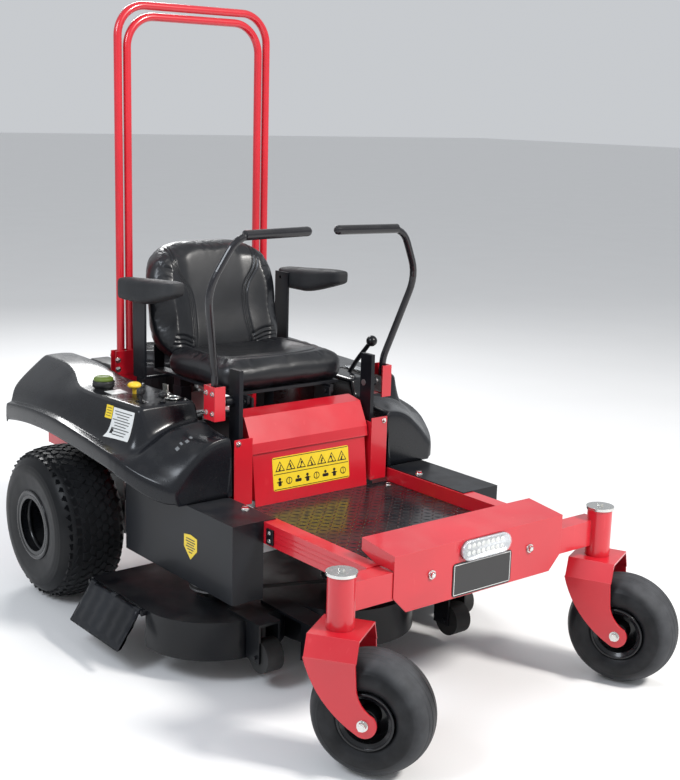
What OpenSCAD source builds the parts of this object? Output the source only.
/* [Frame] */
// Front swivel axis to rear axle
wheelbase = 1497; // [1250:1:1800]
// Distance between the two caster swivel axes
swivel_track = 979; // [880:1:1200]
// Width over the two frame rails
rail_span = 720; // [690:1:740]
// Width of a frame rail
rail_w = 48; // [38:1:58]
// Height of a frame rail
rail_h = 65; // [54:1:78]
// Wall of the frame rails and the beam
rail_wall = 4; // [3:0.5:6]
// Underside of the frame rails above the ground
rail_z = 424; // [410:1:440]
// Height of the front beam
beam_h = 77; // [60:1:92]
// Depth of the front beam
beam_d = 60; // [50:1:72]
/* [Casters] */
// Outer radius of a caster tyre
caster_r = 165; // [140:1:166]
// Width of a caster tyre
caster_w = 153; // [125:1:155]
// Distance from the swivel axis back to the caster axle
trail = 94; // [78:1:110]
// Swivel of the right caster from straight ahead
swivel_right = 33.3; // [0:0.1:40]
// Swivel of the left caster from straight ahead
swivel_left = 24.6; // [0:0.1:40]
// Half of the width over the fork legs
fork_half_w = 91.8; // [90:0.1:110]
// Thickness of the fork plate
fork_wall = 6; // [5:0.5:8]
// Radius of the swivel tube
swivel_tube_r = 37; // [34:0.5:42]
/* [Rear wheels] */
// Outer radius of a rear tyre
rear_r = 258.6; // [215:0.1:262]
// Width of a rear tyre
rear_w = 241; // [200:1:246]
// Distance between the middles of the rear tyres
rear_track = 1006; // [1000:1:1200]
/* [Deck] */
// Circle swept by one blade
blade_r = 203; // [170:1:204]
// Spindle spacing across the deck
spindle_x = 385; // [384:1:450]
// How far the middle spindle sits ahead of the outer two
spindle_stagger = 152; // [150:1:180]
// Clearance from a blade tip to the skirt
tip_gap = 18; // [15:1:24]
// Height of the deck's lower edge above the ground
deck_z = 80; // [78:1:90]
// Height of the deck's skirt
deck_h = 117; // [100:1:120]
// How far the deck drops below this setting
deck_drop = 45; // [30:1:46]
// How far the deck rises above this setting
deck_rise = 25; // [15:1:28]
/* [Seat] */
// Width of the seat cushion
seat_w = 500; // [420:1:540]
// Length of the seat cushion
seat_l = 440; // [380:1:450]
// Thickness of the seat cushion
seat_t = 96; // [80:1:110]
// Height of the backrest above the cushion's underside
back_h = 438; // [370:1:500]
/* [Roll bar] */
// Height of the roll bar's top centreline
roll_z = 1962; // [1650:1:2300]
// Half width of the outer hoop's centreline
roll_x = 293; // [286:1:300]
// Outer radius of the hoop tubes
tube_r = 13.35; // [11:0.05:15]
/* [Levers] */
// Height of the grips
grip_z = 1286; // [1200:1:1400]
// Radius of a grip
grip_r = 15; // [13:0.5:18]
/* [Hidden] */
red = "#c8202c";
black = "#1c1d20";
grey = "#55585c";
zinc = "#b9bcc0";
rubber = "#26272a";
run_gap = 0.05;    // radial clearance of a shaft that turns
soft_gap = 0.3;    // clearance between pieces of different bodies
sheet = 3;         // folded sheet steel
$fn = 48;

rail_out = rail_span / 2;
rail_in = rail_out - rail_w;
rail_top = rail_z + rail_h;
beam_rear = beam_d - 2;
beam_z = rail_top - 3 - beam_h;
axle_y = wheelbase;
rail_end = axle_y + 400;
panel_y = axle_y - 737;           // front face of the panel ahead of the seat
rear_x = rear_track / 2;
rear_in = rear_x - rear_w / 2;
rear_out = rear_x + rear_w / 2;
swivel_x = swivel_track / 2;
deck_y = axle_y - 745;            // outer spindles
mid_y = deck_y - spindle_stagger; // middle spindle
lobe_r = blade_r + tip_gap + 4;
deck_top = deck_z + deck_h;
chute_reach = 700;
engine_y = axle_y + 203;
engine_rear = engine_y + 330;

// The model stands on its tyres with the middle of its box on the Z axis
caster_front = trail * cos(swivel_left) + (caster_w / 2 - 50) * sin(swivel_left)
    + (caster_r - 50) * cos(swivel_left) + 50;
caster_side = swivel_x + (trail + caster_r - 50) * sin(swivel_left)
    + (caster_w / 2 - 50) * cos(swivel_left) + 50;
shift_x = (chute_reach - max(rear_out, caster_side)) / 2;
shift_y = (caster_front - engine_rear) / 2;
module place() translate([shift_x, shift_y, 0]) children();
module side(s) { if (s < 0) mirror([1, 0, 0]) children(); else children(); }
module both() { children(); mirror([1, 0, 0]) children(); }
module box(low, high) translate(low) cube(high - low);
module rod(p, axis, r, l) // cylinder from point p along one of the axes
    translate(p) rotate(axis == "x" ? [0, 90, 0] : axis == "y" ? [-90, 0, 0] : [0, 0, 0])
        cylinder(r = r, h = l);
// Points of an arc from p to q that bulges by s to the left of the way
function bow(p, q, s, n = 8) = let (c = norm(q - p), r = (c * c / 4 + s * s) / (2 * s),
    u = (q - p) / c, m = (p + q) / 2 + [-u[1], u[0]] * (s - r),
    a = atan2(p[1] - m[1], p[0] - m[0]), w = 2 * asin(c / 2 / abs(r)))
    [for (i = [0:n]) m + abs(r) * [cos(a - sign(s) * w * i / n), sin(a - sign(s) * w * i / n)]];
function arc(m, r, a, b, n = 8) = [for (i = [0:n]) m + r * [cos(a + (b - a) * i / n),
    sin(a + (b - a) * i / n)]];
// An outline in Y and Z, drawn from x0 to x1
module across(x0, x1) translate([x0, 0, 0]) rotate([90, 0, 90]) linear_extrude(x1 - x0) children();
// An outline in X and Z, drawn from y0 to y1
module along(y0, y1) translate([0, y1, 0]) rotate([90, 0, 0]) linear_extrude(y1 - y0) children();
module hex_bolt(p, dir, r) // head with its washer, standing on p
    translate(p) rotate(dir == "-y" ? [90, 0, 0] : dir == "y" ? [-90, 0, 0]
        : dir == "x" ? [0, 90, 0] : dir == "-x" ? [0, -90, 0] : [0, 0, 0]) {
        cylinder(r = r * 1.35, h = r * 0.3, $fn = 24);
        cylinder(r = r, h = r, $fn = 6);
    }

// ---- frame
cross_w = 60;
cross_y = [axle_y - 610, axle_y - 44, rail_end - cross_w];
shaft_y = deck_y + 60;
shaft_z = rail_z - 44;
shaft_r = 12.5;
engine_plate = 6;
module frame_rails() color(red) place() {
    difference() {
        union() {
            both() box([rail_in, beam_rear, rail_z], [rail_out, rail_end, rail_top]);
            for (y = cross_y)
                box([-rail_in - 1, y, rail_z + 8], [rail_in + 1, y + cross_w, rail_top]);
            box([-rail_in - 1, axle_y + 16, rail_top - engine_plate],
                [rail_in + 1, axle_y + 341, rail_top]);
            both() box([rail_in, shaft_y - 25, shaft_z - 25], [rail_in + 8, shaft_y + 25, rail_z + 1]);
        }
        both() box([rail_in + rail_wall, beam_rear - 1, rail_z + rail_wall],
            [rail_out - rail_wall, rail_end + 1, rail_top - rail_wall]);
        for (y = cross_y) box([-rail_in, y + rail_wall, rail_z + 8 + rail_wall],
            [rail_in, y + cross_w - rail_wall, rail_top - rail_wall]);
        both() rod([rail_in - 1, shaft_y, shaft_z], "x", shaft_r + run_gap, 10);
        rod([0, engine_y, rail_top - 20], "z", 70, 40);
        for (x = [-100, 100], z = [-14, 14])
            rod([x, rail_end - rail_wall - 2, rail_z + 8 + (rail_h - 8) / 2 + z], "y", 6.5, 10);
    }
    both() hex_bolt([rail_in + 32, axle_y - 857, rail_top + sheet], "z", 9);
    both() hex_bolt([rail_in + 32, axle_y - 560, rail_top + sheet], "z", 9);
}
tube_z0 = 376.4;
tube_z1 = 517;
bearing_r = 30;
bearing_h = 22;
stem_r = 16;
module front_beam() color(red) place() {
    difference() {
        union() {
            box([-swivel_x, beam_rear - beam_d, beam_z], [swivel_x, beam_rear, beam_z + beam_h]);
            both() rod([swivel_x, 0, tube_z0], "z", swivel_tube_r, tube_z1 - tube_z0);
        }
        box([-swivel_x + 60, beam_rear - beam_d + rail_wall, beam_z + rail_wall],
            [swivel_x - 60, beam_rear - rail_wall, beam_z + beam_h - rail_wall]);
        both() rod([swivel_x, 0, tube_z0 - 1], "z", bearing_r, tube_z1 - tube_z0 + 2);
    }
    both() for (z = [tube_z0, tube_z1 - bearing_h]) difference() {
        rod([swivel_x, 0, z], "z", bearing_r - 0.05, bearing_h);
        rod([swivel_x, 0, z - 1], "z", stem_r + run_gap, bearing_h + 2);
    }
}
// ---- floor and front sheets
floor_z = 441;
floor_t = 4;
module floor_plate() color(black) place() {
    box([-rail_in, beam_rear, floor_z], [rail_in, panel_y, floor_z + floor_t]);
    both() hex_bolt([rail_in - 30, panel_y - 40, floor_z + floor_t], "z", 8);
}
cover_x = 319.4;
cover_top = [[-6, 529], [128.4, 545.2]];
module bumper_cover() color(red) place() {
    face = beam_rear - beam_d - soft_gap;
    along(face - sheet, face) polygon([[-cover_x, 529], [-cover_x, 413.7], [-274, 367.5],
        [274, 367.5], [cover_x, 413.7], [cover_x, 529]]);
    across(-cover_x, cover_x) polygon([[face - sheet, 529], [cover_top[1][0], cover_top[1][1]],
        [cover_top[1][0], cover_top[1][1] - sheet], [face - sheet, 529 - sheet]]);
    both() across(cover_x - sheet, cover_x) polygon([[face, 529], [128.4, 545], [128.4, 510],
        [70, rail_top + 0.3], [face, rail_top + 0.3]]);
    both() hex_bolt([187, face - sheet, 454], "-y", 9);
}
module headlight() color("#dfe3e6") place() {
    translate([7, beam_rear - beam_d - soft_gap - sheet, 497]) rotate([90, 0, 0])
        linear_extrude(16) {
            square([184 - 58, 58], center = true);
            for (s = [-1, 1]) translate([s * (92 - 29), 0]) circle(r = 29);
        }
}
panel_half = 222;
wing_in = 236;
wing_out = rail_in - 10;
module front_panel() color(red) place() {
    across(-panel_half, panel_half) polygon([[panel_y, floor_z + floor_t], [panel_y + 24.5, 648],
        [panel_y + 24.5 + sheet, 648], [panel_y + sheet, floor_z + floor_t]]);
    both() {
        box([wing_in, panel_y, rail_top - 30], [wing_out, panel_y + sheet, 668]);
        box([wing_in, panel_y, rail_top - 30], [wing_in + sheet, panel_y + 90, 655]);
        across(panel_half - sheet, panel_half) polygon([[panel_y + 4, floor_z + floor_t + 20],
            [panel_y + 24, 636], [panel_y + 40, 636], [panel_y + 40, floor_z + floor_t + 20]]);
        box([panel_half - 1, panel_y + 36, 480], [wing_in + 1, panel_y + 40, 600]);
        hex_bolt([wing_out - 14, panel_y, 655], "-y", 6);
    }
}
lip = [[panel_y + 13, 609], [panel_y + 17, 642], [panel_y + 57, 719], [panel_y + 116, 730]];
module front_cover() color(red) place() {
    across(-230, 230) polygon(concat(lip, [for (i = [3:-1:0]) lip[i] + [sheet, -sheet * (i > 1 ? 1 : 0)]]));
    both() across(227, 230) polygon([lip[1], lip[2] - [0, 1], lip[3] - [0, 1], lip[3] - [0, 62],
        [panel_y + 87, 660], [panel_y + 24, 653]]);
    across(-panel_half, panel_half) polygon([lip[0], lip[0] + [0, 3], lip[0] + [6.9, 3], lip[0] + [6.6, 0]]);
}
guard_in = rail_out + 0.5;
guard_out = 468;
guard_z = 255;
guard_end = axle_y - 367;
module guard(front) {
    box([rail_in + 6, front, rail_top + 0.1], [guard_out, guard_end, rail_top + sheet]);
    box([guard_in, front, guard_z], [guard_out, front + sheet, rail_top + 1]);
    box([guard_out - sheet, front, guard_z], [guard_out, guard_end, rail_top + 1]);
}
module side_guards() color(black) place() {
    mirror([1, 0, 0]) guard(axle_y - 977);
    guard(axle_y - 1094);
}

// ---- fenders: outlines across the machine, from the skirt's edge to the inner wall
fender_wall = 4;
foot_z = rail_top + sheet + 0.3;   // foot of the inner wall, on the guards' top sheet
fender_rows = [
    [193, [[612, 585], [617, 640], [600, 662], [582, 710], [530, 756],
        [477, 794], [390, 797], [352, 782], [350, foot_z]]],
    [13, [[620, 609], [624, 660], [604, 674], [584, 714], [532, 756],
        [480, 792], [390, 797], [352, 782], [350, foot_z]]],
    [-117, [[621, 612], [625, 662], [604, 674], [572, 722], [530, 752],
        [488, 778], [390, 780], [344, 770], [346, foot_z]]],
    [-250, [[620, 604], [624, 657], [602, 670], [558, 732], [545, 750],
        [530, 760], [400, 760], [312, 752], [326, foot_z]]],
    [-400, [[615, 590], [618, 645], [596, 660], [555, 730], [542, 746],
        [528, 756], [400, 756], [305, 748], [324, foot_z]]],
    [-500, [[610, 577], [612, 632], [588, 648], [552, 720], [540, 738],
        [526, 750], [400, 750], [304, 742], [324, foot_z]]],
    [-570, [[588, 545], [590, 604], [566, 622], [540, 670], [528, 688],
        [512, 700], [400, 702], [303, 694], [324, foot_z]]],
    [-640, [[556, 512], [558, 574], [540, 600], [518, 640], [506, 660],
        [490, 674], [400, 684], [302, 678], [324, foot_z]]],
    [-700, [[516, 496], [518, 556], [504, 590], [488, 630], [478, 652],
        [462, 668], [390, 680], [302, 676], [324, foot_z]]],
    [-728, [[462, 496], [462, 540], [452, 580], [444, 625], [438, 648],
        [428, 664], [380, 677], [302, 675], [324, foot_z]]],
    [-734, [for (x = [462, 450, 430, 410, 390, 370, 350, 306, 326]) [x, foot_z]]]];
function wall_at(row, i) = let (p = row[1], a = p[max(i - 1, 0)], b = p[min(i + 1, len(p) - 1)],
    t = (b - a) / norm(b - a)) p[i] + fender_wall * [-t[1], t[0]];
module fender_shell() {
    n = len(fender_rows);
    m = len(fender_rows[0][1]);
    k = n * m;
    outside = [for (row = fender_rows) for (p = row[1]) [p[0], axle_y + row[0], p[1]]];
    inside = [for (j = [0:n - 1]) for (i = [0:m - 1]) let (row = fender_rows[j],
        p = j == n - 1 ? row[1][i] : wall_at(row, i))
        [p[0], axle_y + row[0] + (j < n - 2 ? 0 : fender_wall), p[1]]];
    function quad(a, b, c, d) = [[c, b, a], [d, c, a]];
    polyhedron(points = concat(outside, inside), convexity = 6, faces = concat(
        [for (j = [0:n - 2]) for (i = [0:m - 2]) let (a = j * m + i)
            each concat(quad(a, a + 1, a + m + 1, a + m), quad(k + a, k + a + m, k + a + m + 1, k + a + 1))],
        [for (j = [0:n - 2]) let (a = j * m, e = a + m - 1)
            each concat(quad(a, a + m, k + a + m, k + a), quad(e, k + e, k + e + m, e + m))],
        [for (i = [0:m - 2]) let (e = k - m + i)
            each concat(quad(i, k + i, k + i + 1, i + 1), quad(e, e + 1, k + e + 1, k + e))]));
}
module fender(s) difference() {
    side(s) fender_shell();
    if (s < 0) for (c = [[-cap_x, cap_y, 30], [-knob_x, knob_y, 7.3],
        [-key_x, key_y, 6.3]]) rod([c[0], c[1], 690], "z", c[2], 110);
    if (s < 0) box([-dial_x - 6, dial_y - 22, 742], [-dial_x + 6, dial_y + 22, 800]);
    if (s > 0) box([height_x - 14, height_y - 90, 690], [height_x + 14, height_y + 20, 800]);
}
cap_x = 480;
cap_y = axle_y - 252;
knob_x = 430;
knob_y = axle_y - 361;
key_x = 352;
key_y = axle_y - 420;
dial_x = 470;
dial_y = axle_y - 470;
dial_z = 737;
height_x = 392;
height_y = axle_y - 400;
height_z = 590;
module fender_right() color(black) place() fender(-1);
module fender_left() color(black) place() fender(1);

// ---- roll bar
hoop_gap = 34;
hoop_bend = 100;
hoop_y = axle_y - 44 + cross_w / 2 - 14;
hoop_z0 = rail_top;
module hoop(x, top, r) {
    both() {
        rod([x, hoop_y, hoop_z0], "z", r, top - hoop_bend - hoop_z0);
        translate([x - hoop_bend, hoop_y, top - hoop_bend]) rotate([90, 0, 0])
            rotate_extrude(angle = 90) translate([hoop_bend, 0]) circle(r = r);
    }
    rod([hoop_bend - x, hoop_y, top], "x", r, 2 * (x - hoop_bend));
}
module roll_bar() color(red) place()
    for (h = [[roll_x, roll_z, hoop_bend], [roll_x - hoop_gap, roll_z - hoop_gap, hoop_bend]]) difference() {
        hoop(h[0], h[1], tube_r);
        both() rod([h[0], hoop_y, hoop_z0 - 1], "z", tube_r - 3, h[1] - hoop_bend - hoop_z0);
    }
bracket_z = [750, 830];
module roll_bar_brackets() color(red) place() both() {
    for (s = [-1, 1]) translate([0, hoop_y + s * (tube_r + 0.1 + 2.5), 0])
        box([roll_x - hoop_gap - 30, -2.5, bracket_z[0]], [roll_x + 28, 2.5, bracket_z[1]]);
    for (x = [roll_x, roll_x - hoop_gap]) difference() {
        box([x - 17, hoop_y - 17, rail_top], [x + (x == roll_x ? 17 : 17), hoop_y + 17, bracket_z[0]]);
        rod([x, hoop_y, rail_top - 1], "z", tube_r + 0.1, bracket_z[0] - rail_top + 2);
    }
    for (x = [roll_x - hoop_gap - 22, roll_x + 20]) hex_bolt([x, hoop_y - tube_r - 5.1, 800], "-y", 7);
}

// ---- engine, drive and tanks
module engine_block() color(grey) place() {
    difference() {
        union() {
            box([-120, engine_y - 110, rail_top], [120, engine_y + 130, rail_top + 130]);
            for (s = [-1, 1]) for (i = [0:8]) translate([s * (120 + i * 11), engine_y + 130, rail_top + 75])
                cube([7, 130, 110], center = true);
            for (s = [-1, 1]) box([s * 160 - 55, engine_y + 90, rail_top + 35],
                [s * 160 + 55, engine_y + 170, rail_top + 115]);
        }
        rod([0, engine_y, rail_top - 1], "z", 14 + run_gap, 60);
    }
    both() box([212, engine_y + 75, rail_top + 30], [240, engine_y + 185, rail_top + 120]);
}
module engine_covers() color(black) place() {
    rod([0, engine_y + 20, rail_top + 130.3], "z", 150, 120);
    rod([0, engine_y + 20, rail_top + 250.3], "z", 95, 60);
    both() box([150, engine_y - 60, rail_top + 175], [235, engine_y + 120, rail_top + 250]);
}
module muffler() color("#7b7d80") place() {
    rod([-190, engine_y + 250, rail_top + 60], "x", 52, 380);
    both() rod([156, engine_y + 195.3, rail_top + 60], "y", 16, 30);
    rod([170, engine_y + 280, rail_top + 60], "y", 15, 50);
    both() box([100, engine_y + 200, rail_top + 0.2], [130, engine_y + 300, rail_top + 12]);
}
axle_shaft_r = 15;
module transaxles() color(grey) place() both() difference() {
    union() {
        box([215, axle_y - 95, rear_r - 60], [rail_in + 8, axle_y + 95, rear_r + 60]);
        rod([rail_in + 7, axle_y, rear_r], "x", 34, rear_in - rail_in + 10);
        rod([262, axle_y - 50, rear_r + 50], "z", 40, 45);
        box([rail_in - 12, axle_y - 60, rear_r + 58], [rail_in - 4, axle_y + 60, rail_z]);
        box([rail_in - 5, axle_y - 60, rail_z - 20], [rail_in + 30, axle_y + 60, rail_z]);
    }
    rod([240, axle_y, rear_r], "x", axle_shaft_r + run_gap, 300);
}
module battery() color(black) place() {
    box([-230, axle_y - 400, rail_top + 8], [-60, axle_y - 270, rail_top + 160]);
    for (x = [-215, -95]) box([x, axle_y - 390, rail_top + 159], [x + 20, axle_y - 370, rail_top + 172]);
    box([-rail_in, axle_y - 410, rail_top - 4], [-40, axle_y - 260, rail_top + 8]);
}
module fuel_tank() color(black) place() difference() {
    union() {
        box([-540, axle_y - 330, 560], [-362, axle_y - 80, 715]);
        rod([-cap_x, cap_y, 700], "z", 29, 64);
    }
    box([-536, axle_y - 326, 564], [-366, axle_y - 84, 711]);
    rod([-cap_x, cap_y, 700], "z", 24, 80);
}
post_y = axle_y - 680;
pivot_z = 775;
swing_x = 318;
swing_z = 745;
seat_front = axle_y - 617;
hinge_y = axle_y - 597;
hinge_z = 745;
hinge_r = 8;
module seat_and_lever_mounts() color(black) place() {
    both() difference() {
        union() {
            box([150, hinge_y - 20, rail_top], [158, hinge_y + 60, hinge_z + 14]);
            box([150, cross_y[0], rail_top], [190, cross_y[0] + 50, rail_top + 5]);
        }
        rod([140, hinge_y, hinge_z], "x", hinge_r + run_gap, 60);
    }
    both() {
        box([150, axle_y - 250, rail_top - 4], [190, axle_y - 200, 730]);
        box([150, axle_y - 250, rail_top - 4], [rail_in, axle_y - 200, rail_top + 4]);
    }
    box([340, height_y - 25, rail_top + sheet + 0.1], [346, height_y + 25, 615]);
    rod([340, height_y, height_z], "x", 10, 76);
    both() difference() {
        union() {
            box([252, post_y - 27, rail_top - 40], [266, post_y + 28, 872]);
            box([260, post_y - 27, rail_top - 40], [rail_in, post_y + 28, rail_top - 32]);
            rod([260, post_y + 10, pivot_z], "x", 15, 36);
        }
        rod([240, post_y + 10, pivot_z], "x", 10 + run_gap, 90);
    }
}
crank_r = 65;
belt_z = 237;
module drive_pulley() color(grey) place() {
    rod([0, engine_y, belt_z - 2], "z", 14, rail_top + 50 - belt_z);
    rod([0, engine_y, belt_z - 10], "z", crank_r + 9, 5);
    rod([0, engine_y, belt_z - 6], "z", crank_r, 12);
    rod([0, engine_y, belt_z + 5], "z", crank_r + 9, 5);
    rod([0, engine_y, belt_z + 30], "z", 55, 50);
}

// ---- casters
axle_r = 8;
sleeve_r = 12.7;
fork_z = tube_z0 - 0.4;
module swivelled(s) place() translate([s * swivel_x, 0, 0])
    rotate([0, 0, (s < 0 ? swivel_right : swivel_left) - 90]) children();
module caster_fork(s) color(red) swivelled(s) {
    inner = fork_half_w - fork_wall;
    boss = [trail + 2, caster_r];
    leg = concat([[-68, fork_z - 54]], bow([-68, fork_z - 54], boss + [-19, -28], -24, 10),
        arc(boss, 34, 236, 400, 12), bow([trail + 29, caster_r + 22], [74, caster_r + 94], 12, 6),
        [[70, fork_z - 52]]);
    difference() {
        union() {
            rotate([90, 0, 0]) translate([0, 0, -fork_half_w]) linear_extrude(2 * fork_half_w) polygon(leg);
            translate([-66, 0, 0]) rotate([90, 0, 90]) linear_extrude(138) polygon([
                [-fork_half_w, fork_z - 55], [-68, fork_z], [68, fork_z], [fork_half_w, fork_z - 55]]);
        }
        translate([-200, -inner, 0]) cube([500, 2 * inner, fork_z - 54]);
        translate([-67, 0, 0]) rotate([90, 0, 90]) linear_extrude(140) polygon([
            [-inner, fork_z - 54.5], [-65, fork_z - fork_wall],
            [65, fork_z - fork_wall], [inner, fork_z - 54.5]]);
        translate([trail, -200, caster_r]) rotate([-90, 0, 0]) cylinder(r = axle_r + 0.1, h = 400);
    }
    translate([0, 0, fork_z - 1]) cylinder(r = stem_r, h = tube_z1 + 1.5 - fork_z);
}
module caster_axle(s) color(zinc) swivelled(s) {
    inner = fork_half_w - fork_wall;
    translate([trail, -fork_half_w - 14, caster_r]) rotate([-90, 0, 0])
        cylinder(r = axle_r, h = 2 * fork_half_w + 28);
    difference() {
        translate([trail, -inner, caster_r]) rotate([-90, 0, 0]) cylinder(r = sleeve_r, h = 2 * inner);
        translate([trail, -200, caster_r]) rotate([-90, 0, 0]) cylinder(r = axle_r + 0.05, h = 400);
    }
    for (e = [-1, 1]) translate([trail, e * fork_half_w, caster_r]) rotate([-90 * e, 0, 0]) {
        cylinder(r = 15, h = 2.5);
        translate([0, 0, 2]) cylinder(r = 12, h = 11, $fn = 6);
    }
    translate([0, 0, tube_z1 + 0.5]) cylinder(r = 41.2, h = 8);
    translate([0, 0, tube_z1 + 8]) cylinder(r = 9, h = 7, $fn = 6);
}
module ring(profile) rotate([-90, 0, 0]) rotate_extrude($fn = 72) polygon(profile);
caster_bead = 76;
module caster_rim(s) color(black) swivelled(s) translate([trail, 0, caster_r]) {
    h = caster_w / 2;
    ring([[sleeve_r + run_gap, -h - 5], [24, -h - 5], [24, -h + 12], [30, -20], [60, -12], [60, -h + 10],
        [76 - 6, -h + 4], [caster_bead, -h + 4], [caster_bead, h - 4], [70, h - 4], [60, h - 10],
        [60, 12], [30, 20], [24, h - 12], [24, h + 5], [sleeve_r + run_gap, h + 5]]);
}
// Tyre outline: a tread crown, round shoulders and the bead's face
function tyre(r, w, bead, crown, shoulder) = concat(
    [[bead, -w / 2 + 12], [bead + 12, -w / 2 + 3]],
    arc([r - crown - shoulder, -w / 2 + shoulder], shoulder, 270, 350, 6),
    bow([r - crown + 1, -w / 2 + shoulder + 8], [r - crown + 1, w / 2 - shoulder - 8], -crown + 1, 10),
    arc([r - crown - shoulder, w / 2 - shoulder], shoulder, 10, 90, 6),
    [[bead + 12, w / 2 - 3], [bead, w / 2 - 12]]);
module caster_tyre(s) color(rubber) swivelled(s) translate([trail, 0, caster_r])
    ring(tyre(caster_r, caster_w, caster_bead + 0.1, 8, 50));
module caster_fork_right() caster_fork(-1);
module caster_axle_right() caster_axle(-1);
module caster_rim_right() caster_rim(-1);
module caster_tyre_right() caster_tyre(-1);
module caster_fork_left() caster_fork(1);
module caster_axle_left() caster_axle(1);
module caster_rim_left() caster_rim(1);
module caster_tyre_left() caster_tyre(1);

// ---- rear wheels, with the axle that each one turns on
rear_bead = 101.6;
module rear_rim(s) color(black) place() side(s) {
    h = rear_w / 2;
    translate([rear_x, axle_y, rear_r]) rotate([0, 0, -90])
        ring([[0, -h + 62], [96, -h + 62], [96, -h + 12], [90, -h + 4], [rear_bead, -h + 4],
            [rear_bead, h - 4], [90, h - 4], [96, h - 12], [96, -h + 70], [50, -h + 74], [50, -h + 84],
            [0, -h + 84]]);
    rod([250, axle_y, rear_r], "x", axle_shaft_r, rear_in + 62 - 249);
    rod([rear_in + 52, axle_y, rear_r], "x", 52, 10.5);
    for (a = [0:72:288]) translate([rear_in + 68, axle_y, rear_r]) rotate([a, 0, 0])
        translate([0, 38, 0]) rotate([0, 90, 0]) cylinder(r = 10, h = 28, $fn = 6);
}
module rear_tyre(s) color(rubber) place() side(s) translate([rear_x, axle_y, rear_r])
    rotate([0, 0, -90]) ring(tyre(rear_r, rear_w, rear_bead + 0.1, 10, 62));
module rear_rim_right() rear_rim(-1);
module rear_tyre_right() rear_tyre(-1);
module rear_rim_left() rear_rim(1);
module rear_tyre_left() rear_tyre(1);

// ---- steering levers
lever_r = 11.5;
grip_in = 60;
grip_y = post_y - 80;
lever_route = [[331, post_y + 13, 793], [331, post_y + 9, 850], [402, post_y - 58, 1129],
    [318, grip_y - 5, grip_z], [grip_in, grip_y + 3, grip_z + 3]];
// Route with its corners rounded: each corner becomes a curve that starts d before it
function rounded(p, d, n = 6) = concat([p[0]], [for (i = [1:len(p) - 2]) let (
    a = p[i] + d[i] * (p[i - 1] - p[i]) / norm(p[i - 1] - p[i]),
    b = p[i] + d[i] * (p[i + 1] - p[i]) / norm(p[i + 1] - p[i]))
    for (k = [0:n]) let (t = k / n) (1 - t) * (1 - t) * a + 2 * t * (1 - t) * p[i] + t * t * b],
    [p[len(p) - 1]]);
// A round bar along points p with radius r[i] at each; the way never runs along Y
module bar(p, r, sides = 16) {
    n = len(p);
    function way(i) = let (d = p[min(i + 1, n - 1)] - p[max(i - 1, 0)]) d / norm(d);
    ring_points = [for (i = [0:n - 1]) let (t = way(i), a = cross(t, [0, 1, 0]) / norm(cross(t, [0, 1, 0])),
        b = cross(a, t)) for (k = [0:sides - 1])
        p[i] + r[i] * (cos(360 * k / sides) * a + sin(360 * k / sides) * b)];
    polyhedron(points = ring_points, convexity = 4, faces = concat(
        [[for (k = [sides - 1:-1:0]) k], [for (k = [0:sides - 1]) (n - 1) * sides + k]],
        [for (i = [0:n - 2]) for (k = [0:sides - 1]) let (a = i * sides + k, b = i * sides + (k + 1) % sides)
            each [[a, b + sides, a + sides], [a, b, b + sides]]]));
}
module lever_pivot(s) color(grey) place() side(s) {
    rod([250, post_y + 10, pivot_z], "x", 10, 60);
    difference() {
        union() {
            box([309, post_y - 10.7, swing_z], [326, post_y + 36.7, 790]);
            rod([swing_x, post_y - 10.7, swing_z], "y", 9, 47.4);
        }
        rod([swing_x, post_y - 20, swing_z], "y", 5 + run_gap, 70);
    }
}
module lever_bracket(s) color(red) place() side(s) {
    for (y = [post_y - 17, post_y + 37]) difference() {
        box([swing_x - 8, y, 723], [344, y + 6, 828]);
        rod([swing_x, y - 1, swing_z], "y", 5.02, 8);
    }
    box([343, post_y - 17, 723], [348, post_y + 43, 828]);
    rod([swing_x, post_y - 17, swing_z], "y", 5, 60);
    for (y = [post_y - 4, post_y + 30], z = [745, 806]) hex_bolt([348, y, z], "x", 6);
}
module lever_tube(s) color(black) place() side(s) {
    way = rounded(lever_route, [0, 20, 60, 55, 0]);
    grip_from = len(way) - 1;
    start = lever_route[3] + 0.1 * (lever_route[4] - lever_route[3]);
    last = lever_route[4];
    out = [-1, 0, 0];
    route = concat([for (i = [0:grip_from - 1]) way[i]], [start, start + out, last],
        [for (a = [30, 60, 85]) last + grip_r * sin(a) * out]);
    bar(route, concat([for (i = [0:grip_from - 1]) lever_r], [lever_r, grip_r, grip_r],
        [for (a = [30, 60, 85]) grip_r * cos(a)]));
}
module lever_pivot_right() lever_pivot(-1);
module lever_pivot_left() lever_pivot(1);
module lever_bracket_right() lever_bracket(-1);
module lever_tube_right() lever_tube(-1);
module lever_bracket_left() lever_bracket(1);
module lever_tube_left() lever_tube(1);

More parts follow.
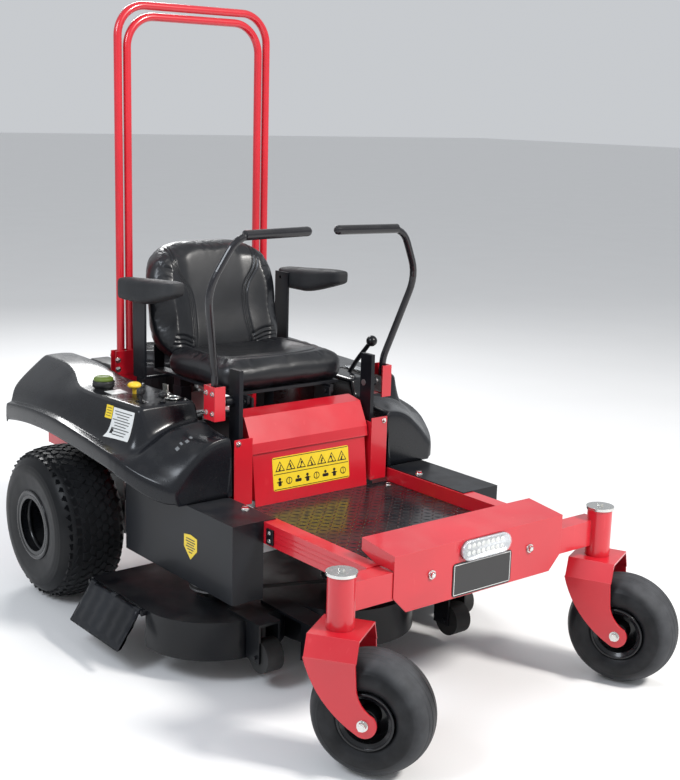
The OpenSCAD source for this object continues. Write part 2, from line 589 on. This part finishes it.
// ---- seat
pan_z = 757;
cushion_z = 775;
module seat_pan() color(black) place() {
    box([-seat_w / 2 + 40, seat_front + 30, pan_z + 8],
        [seat_w / 2 - 40, seat_front + seat_l, cushion_z - soft_gap]);
    both() {
        difference() {
            union() {
                rod([158.4, hinge_y, hinge_z], "x", 14, 12);
                box([158.4, hinge_y - 14, hinge_z], [170.4, hinge_y + 80, pan_z + 9]);
            }
            rod([150, hinge_y, hinge_z], "x", hinge_r + run_gap, 30);
        }
        rod([144, hinge_y, hinge_z], "x", hinge_r, 32);
        box([150, axle_y - 245, 730.3], [190, axle_y - 205, pan_z + 9]);
        difference() {
            box([seat_w / 2 + 36, axle_y - 190, pan_z], [seat_w / 2 + 44, axle_y - 115, arm_z + 20]);
            rod([seat_w / 2 + 30, arm_y, arm_z], "x", arm_pin_r + run_gap, 20);
        }
        box([150, axle_y - 190, pan_z], [seat_w / 2 + 37, axle_y - 178, pan_z + 9]);
        box([150, axle_y - 190, pan_z], [190, back_front + 105, pan_z + 9]);
        box([150, back_front + 100, pan_z], [190, back_front + 105, cushion_z + 150]);
    }
}
module seat_cushion() color(black) place() {
    across(-seat_w / 2, seat_w / 2) polygon(concat(
        arc([seat_front + 40, cushion_z + 40], 40, 270, 120, 8),
        [[seat_front + 120, cushion_z + seat_t], [seat_front + seat_l - 60, cushion_z + seat_t - 8],
        [seat_front + seat_l - 6, cushion_z + 60], [seat_front + seat_l - 6, cushion_z]]));
}
back_front = seat_front + seat_l + 1;
module seat_back() color(black) place() difference() {
    translate([0, back_front, 0]) across(-seat_w / 2 - 10, seat_w / 2 + 10) polygon([
        [2, cushion_z + 2], [-10, cushion_z + 150], [20, cushion_z + back_h - 60],
        [40, cushion_z + back_h - 10], [62, cushion_z + back_h], [92, cushion_z + back_h - 12],
        [106, cushion_z + back_h - 50], [96, cushion_z + 20], [80, cushion_z + 2]]);
    both() translate([seat_w / 2 + 10, 0, cushion_z + 330]) rotate([0, -22, 0])
        translate([0, 0, -20]) cube([200, 4000, 400]);
}
arm_z = 1060;
arm_pin_r = 6;
arm_y = axle_y - 145;
module armrest(s) color(black) place() side(s) {
    x0 = seat_w / 2 + 44.4;
    translate([x0, 0, 0]) across(0, 62) polygon([
        [arm_y + 45, arm_z + 17], [arm_y - 300, arm_z + 57], [arm_y - 318, arm_z + 40],
        [arm_y - 300, arm_z + 22], [arm_y - 70, arm_z - 42], [arm_y + 45, arm_z - 30]]);
    rod([seat_w / 2 + 35, arm_y, arm_z], "x", arm_pin_r, 14);
}
module armrest_right() armrest(-1);
module armrest_left() armrest(1);

// ---- deck
deck_side = spindle_x + lobe_r;
spindles = [[-spindle_x, deck_y], [0, mid_y], [spindle_x, deck_y]];
module deck_plan(t) {
    for (c = spindles) translate(c) circle(r = lobe_r - t);
    translate([-spindle_x, mid_y + t]) square([2 * spindle_x, deck_y - mid_y + lobe_r - 2 * t]);
    translate([-spindle_x - lobe_r + t, deck_y]) square([lobe_r, lobe_r + 120 - t]);
}
deck_sheet = 4;
pulley_r = 60;
module deck_shell() color(black) place() difference() {
    translate([0, 0, deck_z]) linear_extrude(deck_h) deck_plan(0);
    translate([0, 0, deck_z - 1]) linear_extrude(deck_h + 1 - deck_sheet) deck_plan(deck_sheet);
    for (c = spindles) rod([c[0], c[1], deck_z], "z", 30, 200);
    box([-deck_side - 1, deck_y + 12, deck_z - 2],
        [-deck_side + 20, deck_y + lobe_r + 96, deck_top - 16]);
}
link_x = 285;
arm_l = 120;
roller_r = 50;
roller_spots = [[-380, deck_y - lobe_r - 55], [380, deck_y - lobe_r - 55],
    [-262, mid_y - 234], [262, mid_y - 234]];
roller_z = deck_z - 28 + roller_r;
module deck_fittings() color(black) place() {
    for (c = spindles) difference() {
        union() {
            rod([c[0], c[1], deck_top - 60], "z", 29.5, 62);
            rod([c[0], c[1], deck_top], "z", 48, 10);
        }
        rod([c[0], c[1], deck_z], "z", 12.5 + run_gap, 300);
    }
    both() difference() {
        union() {
            box([link_x - 3, shaft_y + arm_l - 26, deck_top],
                [link_x + 3, shaft_y + arm_l + 26, shaft_z + 22]);
            box([link_x - 20, shaft_y + arm_l - 26, deck_top],
                [link_x + 3, shaft_y + arm_l + 26, deck_top + 6]);
        }
        box([link_x - 5, shaft_y + arm_l - 20, shaft_z - 9], [link_x + 5, shaft_y + arm_l + 9, shaft_z + 9]);
    }
    for (p = roller_spots) roller_bracket(p);
    rod([chute_hinge[0], deck_y + 2, chute_hinge[1]], "y", 5, 334);
    for (y = [deck_y + 4, deck_y + 324])
        box([chute_hinge[0] - 7, y, deck_top - 15], [-deck_side, y + 6, deck_top]);
}
module roller_bracket(p) {
    for (e = [-1, 1]) difference() {
        box([p[0] + e * 34 - 3, p[1] - 16, roller_z - 16], [p[0] + e * 34 + 3, p[1] + 48, deck_top + 1]);
        rod([p[0] - 50, p[1], roller_z], "x", 6.05, 100);
    }
    box([p[0] - 37, p[1] - 16, deck_top], [p[0] + 37, deck_y - lobe_r + 90, deck_top + 8]);
    rod([p[0] - 44, p[1], roller_z], "x", 6, 88);
}
module roller(i) color(rubber) place() difference() {
    rod([roller_spots[i][0] - 29, roller_spots[i][1], roller_z], "x", roller_r, 58);
    rod([roller_spots[i][0] - 40, roller_spots[i][1], roller_z], "x", 6 + run_gap, 80);
}
module roller_right() roller(0);
module roller_left() roller(1);
module roller_front_right() roller(2);
module roller_front_left() roller(3);
chute_hinge = [-deck_side - 11, deck_top - 7];
module chute() color(black) place() {
    tip = [-chute_reach, deck_z + 2];
    difference() {
        union() {
            along(deck_y + 20, deck_y + 318) polygon([chute_hinge + [-4, 5], tip + [0, 4],
                tip, chute_hinge + [-4, -1]]);
            for (y = [deck_y + 20, deck_y + 160, deck_y + 290])
                rod([chute_hinge[0], y, chute_hinge[1]], "y", 9, 28);
        }
        rod([chute_hinge[0], deck_y, chute_hinge[1]], "y", 5 + run_gap, 400);
    }
}
blade_z = deck_z + 25;
module blade(i) color(grey) place() translate([spindles[i][0], spindles[i][1], 0]) {
    rotate([0, 0, i * 60 + 20]) {
        intersection() {
            translate([-blade_r, -32, blade_z]) cube([2 * blade_r, 64, 5]);
            translate([0, 0, blade_z - 5]) cylinder(r = blade_r, h = 20);
        }
        for (a = [0, 180]) rotate([0, 0, a]) translate([blade_r - 70, 0, blade_z + 4]) cube([50, 30, 14]);
    }
    translate([0, 0, blade_z - 8]) cylinder(r = 12.5, h = belt_z + 20 - blade_z);
    translate([0, 0, blade_z - 12]) cylinder(r = 20, h = 12, $fn = 6);
    translate([0, 0, belt_z - 10]) cylinder(r = pulley_r + 9, h = 5);
    translate([0, 0, belt_z - 6]) cylinder(r = pulley_r, h = 12);
    translate([0, 0, belt_z + 5]) cylinder(r = pulley_r + 9, h = 5);
}
module blade_right() blade(0);
module blade_center() blade(1);
module blade_left() blade(2);
// The belt runs counterclockwise round the four pulleys, tangent to each pair
loop = [[spindle_x, deck_y, pulley_r], [0, engine_y, crank_r], [-spindle_x, deck_y, pulley_r],
    [0, mid_y, pulley_r]];
function leave(i) = let (a = loop[i % 4], b = loop[(i + 1) % 4], d = [b[0] - a[0], b[1] - a[1]])
    atan2(d[1], d[0]) - 90 + asin((a[2] - b[2]) / norm(d));
function turn(a, b) = b < a ? b + 360 : b;
function belt_line(t) = [for (i = [0:3]) let (p = loop[i], a = leave(i + 3),
    b = turn(a, leave(i)), n = 16) each arc([p[0], p[1]], (p[2] + t) / cos((b - a) / n / 2), a, b, n)];
module deck_belt() color(rubber) place() translate([0, 0, belt_z - 4.5]) linear_extrude(9) difference() {
    polygon(belt_line(8));
    polygon(belt_line(0.5));
}
module lift_shaft() color(grey) place() {
    rod([-rail_in - 14, shaft_y, shaft_z], "x", shaft_r, 2 * rail_in + 28);
    both() {
        box([link_x + 5, shaft_y - 12, shaft_z - 12], [link_x + 13, shaft_y + arm_l + 12, shaft_z + 12]);
        rod([link_x - 8, shaft_y + arm_l, shaft_z], "x", 6, 16);
    }
}
module height_lever() color(black) place() {
    way = rounded([[height_x, height_y, 600], [height_x, height_y, 720], [height_x, height_y - 60, 800],
        [height_x, height_y - 128, 870]], [0, 30, 30, 0]);
    difference() {
        union() {
            rod([height_x - 20, height_y, height_z], "x", 20, 40);
            bar(way, [for (p = way) 8], 12);
        }
        rod([height_x - 30, height_y, height_z], "x", 10 + run_gap, 60);
    }
    translate([height_x, height_y - 138, 880]) sphere(r = 19);
}
module fuel_cap() color("#2c4a33") place() {
    translate([-cap_x, cap_y, 764.3]) cylinder(r = 29.7, h = 3);
    translate([-cap_x, cap_y, 766.2]) cylinder(r = 35, h = 33.8);
}
module pto_knob() color("#e0b31c") place() {
    translate([-knob_x, knob_y, 700]) cylinder(r = 7, h = 85);
    translate([-knob_x, knob_y, 772]) cylinder(r = 22, h = 23);
}
module ignition_key() color(zinc) place() {
    translate([-key_x, key_y, 720]) cylinder(r = 6, h = 40);
    box([-key_x - 2, key_y - 14, 758], [-key_x + 2, key_y + 14, 790]);
}
module throttle_lever() color(black) place() {
    rod([-dial_x - 14, dial_y, dial_z], "x", 10, 28);
    translate([-dial_x, dial_y, dial_z]) cylinder(r = 5, h = 48);
    translate([-dial_x, dial_y, dial_z + 52]) sphere(r = 13);
}

frame_rails();
front_beam();
floor_plate();
bumper_cover();
headlight();
front_panel();
front_cover();
side_guards();
fender_right();
fender_left();
roll_bar();
roll_bar_brackets();
engine_block();
engine_covers();
muffler();
transaxles();
battery();
fuel_tank();
seat_and_lever_mounts();
drive_pulley();
caster_fork_right();
caster_axle_right();
caster_rim_right();
caster_tyre_right();
caster_fork_left();
caster_axle_left();
caster_rim_left();
caster_tyre_left();
rear_rim_right();
rear_tyre_right();
rear_rim_left();
rear_tyre_left();
lever_pivot_right();
lever_bracket_right();
lever_tube_right();
lever_pivot_left();
lever_bracket_left();
lever_tube_left();
seat_pan();
seat_cushion();
seat_back();
armrest_right();
armrest_left();
deck_shell();
deck_fittings();
chute();
blade_right();
blade_center();
blade_left();
roller_right();
roller_left();
roller_front_right();
roller_front_left();
deck_belt();
lift_shaft();
height_lever();
fuel_cap();
pto_knob();
ignition_key();
throttle_lever();
